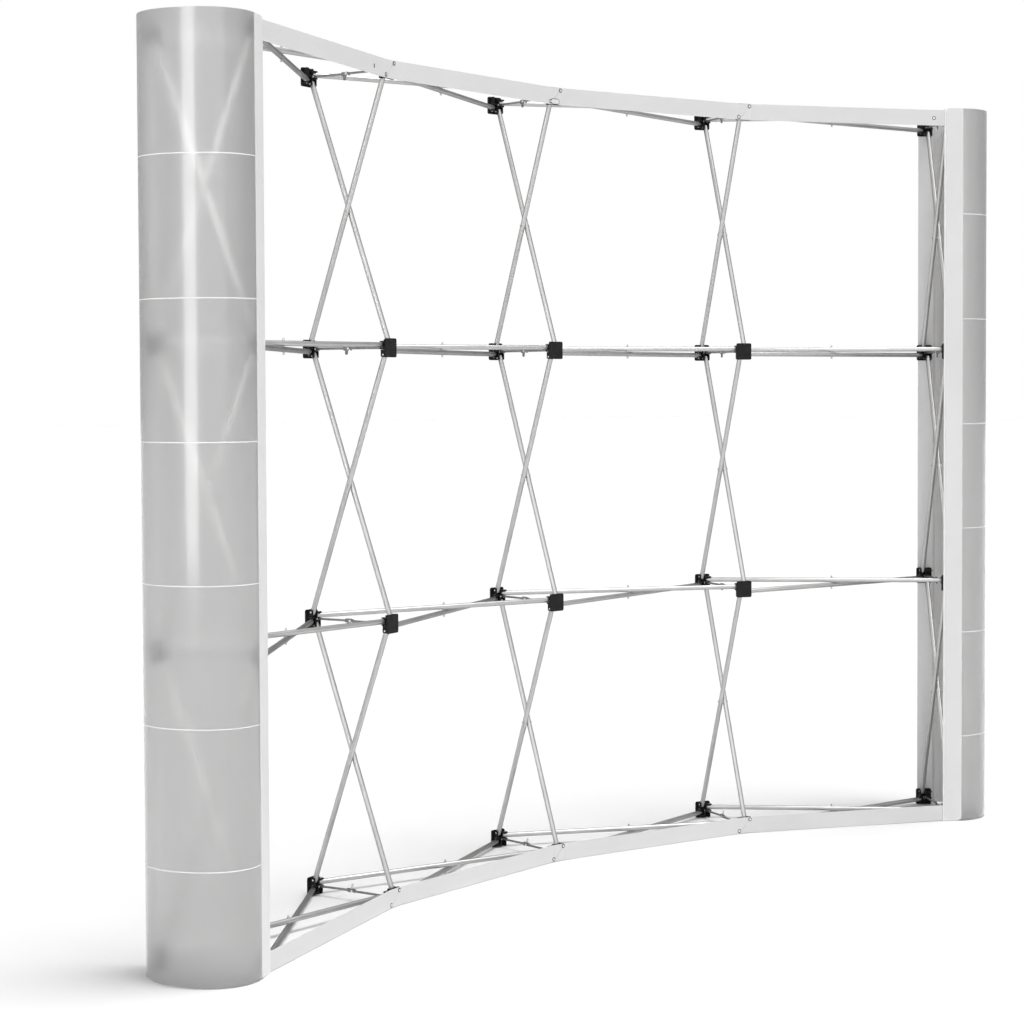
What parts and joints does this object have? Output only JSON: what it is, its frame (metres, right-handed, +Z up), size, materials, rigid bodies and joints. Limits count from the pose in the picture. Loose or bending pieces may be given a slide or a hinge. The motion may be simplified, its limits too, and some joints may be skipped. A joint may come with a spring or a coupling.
{
  "type": "pop up display backwall",
  "caption": "Curved free-standing lattice backwall of riveted rod pairs, hubs and hinged locks, with flat top and bottom rails and bent translucent end caps.",
  "frame": {"origin": "middle of the base: the centre of the bounding box in plan, at the floor", "axes": "+X along the wall from its left end to its right end, +Y from the concave front to the back, +Z up"},
  "size_m": [3.0472, 0.7218, 2.23],
  "materials": {
    "rod_aluminium": "satin drawn tube",
    "hub_plastic": "moulded, fine grained",
    "lock_metal": "bright plated",
    "rail_coat": "matt light grey coat",
    "bar_coat": "matt white band",
    "cap_film": "frosted translucent sheet"
  },
  "bodies": {
    "frame": {"row1_strand_a": "rod_aluminium", "row1_strand_b": "rod_aluminium", "row2_strand_a": "rod_aluminium", "row2_strand_b": "rod_aluminium", "row3_strand_a": "rod_aluminium", "row3_strand_b": "rod_aluminium", "row4_strand_a": "rod_aluminium", "row4_strand_b": "rod_aluminium", "upright_pair_c1_t1": "rod_aluminium", "upright_pair_c1_t2": "rod_aluminium", "upright_pair_c1_t3": "rod_aluminium", "upright_pair_c2_t1": "rod_aluminium", "upright_pair_c2_t2": "rod_aluminium", "upright_pair_c2_t3": "rod_aluminium", "upright_pair_c3_t1": "rod_aluminium", "upright_pair_c3_t2": "rod_aluminium", "upright_pair_c3_t3": "rod_aluminium", "upright_pair_c4_t1": "rod_aluminium", "upright_pair_c4_t2": "rod_aluminium", "upright_pair_c4_t3": "rod_aluminium", "upright_pair_c5_t1": "rod_aluminium", "upright_pair_c5_t2": "rod_aluminium", "upright_pair_c5_t3": "rod_aluminium", "side_bar_left_front": "bar_coat", "side_bar_left_back": "bar_coat", "side_bar_right_front": "bar_coat", "side_bar_right_back": "bar_coat"},
    "lock_c1_r1": {"lock_arm_c1_r1": "lock_metal"},
    "lock_c1_r2": {"lock_arm_c1_r2": "lock_metal"},
    "lock_c1_r3": {"lock_arm_c1_r3": "lock_metal"},
    "lock_c1_r4": {"lock_arm_c1_r4": "lock_metal"},
    "lock_c2_r1": {"lock_arm_c2_r1": "lock_metal"},
    "lock_c2_r2": {"lock_arm_c2_r2": "lock_metal"},
    "lock_c2_r3": {"lock_arm_c2_r3": "lock_metal"},
    "lock_c2_r4": {"lock_arm_c2_r4": "lock_metal"},
    "lock_c3_r1": {"lock_arm_c3_r1": "lock_metal"},
    "lock_c3_r2": {"lock_arm_c3_r2": "lock_metal"},
    "lock_c3_r3": {"lock_arm_c3_r3": "lock_metal"},
    "lock_c3_r4": {"lock_arm_c3_r4": "lock_metal"},
    "lock_c4_r1": {"lock_arm_c4_r1": "lock_metal"},
    "lock_c4_r2": {"lock_arm_c4_r2": "lock_metal"},
    "lock_c4_r3": {"lock_arm_c4_r3": "lock_metal"},
    "lock_c4_r4": {"lock_arm_c4_r4": "lock_metal"},
    "lock_c5_r1": {"lock_arm_c5_r1": "lock_metal"},
    "lock_c5_r2": {"lock_arm_c5_r2": "lock_metal"},
    "lock_c5_r3": {"lock_arm_c5_r3": "lock_metal"},
    "lock_c5_r4": {"lock_arm_c5_r4": "lock_metal"},
    "bottom_rail": {"bottom_strip_1": "rail_coat", "bottom_strip_2": "rail_coat", "bottom_strip_3": "rail_coat", "bottom_strip_4": "rail_coat"},
    "top_rail": {"top_strip_1": "rail_coat", "top_strip_2": "rail_coat", "top_strip_3": "rail_coat", "top_strip_4": "rail_coat"},
    "cap_left": {"end_cap_left": "cap_film"},
    "cap_right": {"end_cap_right": "cap_film"}
  },
  "joints": [
    {"name": "lock_hinge_c1_r1", "type": "hinge", "parent": "frame", "child": "lock_c1_r1", "pos_m": [-1.43038, -0.11644, 0.025], "axis": [-0.8192, -0.5736, 0], "range_deg": [0, 60]},
    {"name": "lock_hinge_c1_r2", "type": "hinge", "parent": "frame", "child": "lock_c1_r2", "pos_m": [-1.43038, -0.11644, 0.75], "axis": [-0.8192, -0.5736, 0], "range_deg": [0, 60]},
    {"name": "lock_hinge_c1_r3", "type": "hinge", "parent": "frame", "child": "lock_c1_r3", "pos_m": [-1.43038, -0.11644, 1.475], "axis": [-0.8192, -0.5736, 0], "range_deg": [0, 60]},
    {"name": "lock_hinge_c1_r4", "type": "hinge", "parent": "frame", "child": "lock_c1_r4", "pos_m": [-1.43038, -0.11644, 2.2], "axis": [-0.8192, -0.5736, 0], "range_deg": [0, 60]},
    {"name": "lock_hinge_c2_r1", "type": "hinge", "parent": "frame", "child": "lock_c2_r1", "pos_m": [-0.7499, 0.21913, 0.025], "axis": [-0.9537, -0.3007, 0], "range_deg": [0, 60]},
    {"name": "lock_hinge_c2_r2", "type": "hinge", "parent": "frame", "child": "lock_c2_r2", "pos_m": [-0.7499, 0.21913, 0.75], "axis": [-0.9537, -0.3007, 0], "range_deg": [0, 60]},
    {"name": "lock_hinge_c2_r3", "type": "hinge", "parent": "frame", "child": "lock_c2_r3", "pos_m": [-0.7499, 0.21913, 1.475], "axis": [-0.9537, -0.3007, 0], "range_deg": [0, 60]},
    {"name": "lock_hinge_c2_r4", "type": "hinge", "parent": "frame", "child": "lock_c2_r4", "pos_m": [-0.7499, 0.21913, 2.2], "axis": [-0.9537, -0.3007, 0], "range_deg": [0, 60]},
    {"name": "lock_hinge_c3_r1", "type": "hinge", "parent": "frame", "child": "lock_c3_r1", "pos_m": [0, 0.33455, 0.025], "axis": [-1, 0, 0], "range_deg": [0, 60]},
    {"name": "lock_hinge_c3_r2", "type": "hinge", "parent": "frame", "child": "lock_c3_r2", "pos_m": [0, 0.33455, 0.75], "axis": [-1, 0, 0], "range_deg": [0, 60]},
    {"name": "lock_hinge_c3_r3", "type": "hinge", "parent": "frame", "child": "lock_c3_r3", "pos_m": [0, 0.33455, 1.475], "axis": [-1, 0, 0], "range_deg": [0, 60]},
    {"name": "lock_hinge_c3_r4", "type": "hinge", "parent": "frame", "child": "lock_c3_r4", "pos_m": [0, 0.33455, 2.2], "axis": [-1, 0, 0], "range_deg": [0, 60]},
    {"name": "lock_hinge_c4_r1", "type": "hinge", "parent": "frame", "child": "lock_c4_r1", "pos_m": [0.7499, 0.21913, 0.025], "axis": [-0.9537, 0.3007, 0], "range_deg": [0, 60]},
    {"name": "lock_hinge_c4_r2", "type": "hinge", "parent": "frame", "child": "lock_c4_r2", "pos_m": [0.7499, 0.21913, 0.75], "axis": [-0.9537, 0.3007, 0], "range_deg": [0, 60]},
    {"name": "lock_hinge_c4_r3", "type": "hinge", "parent": "frame", "child": "lock_c4_r3", "pos_m": [0.7499, 0.21913, 1.475], "axis": [-0.9537, 0.3007, 0], "range_deg": [0, 60]},
    {"name": "lock_hinge_c4_r4", "type": "hinge", "parent": "frame", "child": "lock_c4_r4", "pos_m": [0.7499, 0.21913, 2.2], "axis": [-0.9537, 0.3007, 0], "range_deg": [0, 60]},
    {"name": "lock_hinge_c5_r1", "type": "hinge", "parent": "frame", "child": "lock_c5_r1", "pos_m": [1.43038, -0.11644, 0.025], "axis": [-0.8192, 0.5736, 0], "range_deg": [0, 60]},
    {"name": "lock_hinge_c5_r2", "type": "hinge", "parent": "frame", "child": "lock_c5_r2", "pos_m": [1.43038, -0.11644, 0.75], "axis": [-0.8192, 0.5736, 0], "range_deg": [0, 60]},
    {"name": "lock_hinge_c5_r3", "type": "hinge", "parent": "frame", "child": "lock_c5_r3", "pos_m": [1.43038, -0.11644, 1.475], "axis": [-0.8192, 0.5736, 0], "range_deg": [0, 60]},
    {"name": "lock_hinge_c5_r4", "type": "hinge", "parent": "frame", "child": "lock_c5_r4", "pos_m": [1.43038, -0.11644, 2.2], "axis": [-0.8192, 0.5736, 0], "range_deg": [0, 60]},
    {"name": "bottom_rail_lift", "type": "slide", "parent": "frame", "child": "bottom_rail", "axis": [0, 0, 1], "range_m": [0, 0.03]},
    {"name": "top_rail_lift", "type": "slide", "parent": "frame", "child": "top_rail", "axis": [0, 0, 1], "range_m": [0, 0.03]},
    {"name": "end_cap_left_pull", "type": "slide", "parent": "frame", "child": "cap_left", "axis": [-0.8192, -0.5736, 0], "range_m": [0, 0.15]},
    {"name": "end_cap_right_pull", "type": "slide", "parent": "frame", "child": "cap_right", "axis": [0.8192, -0.5736, 0], "range_m": [0, 0.15]}
  ]
}
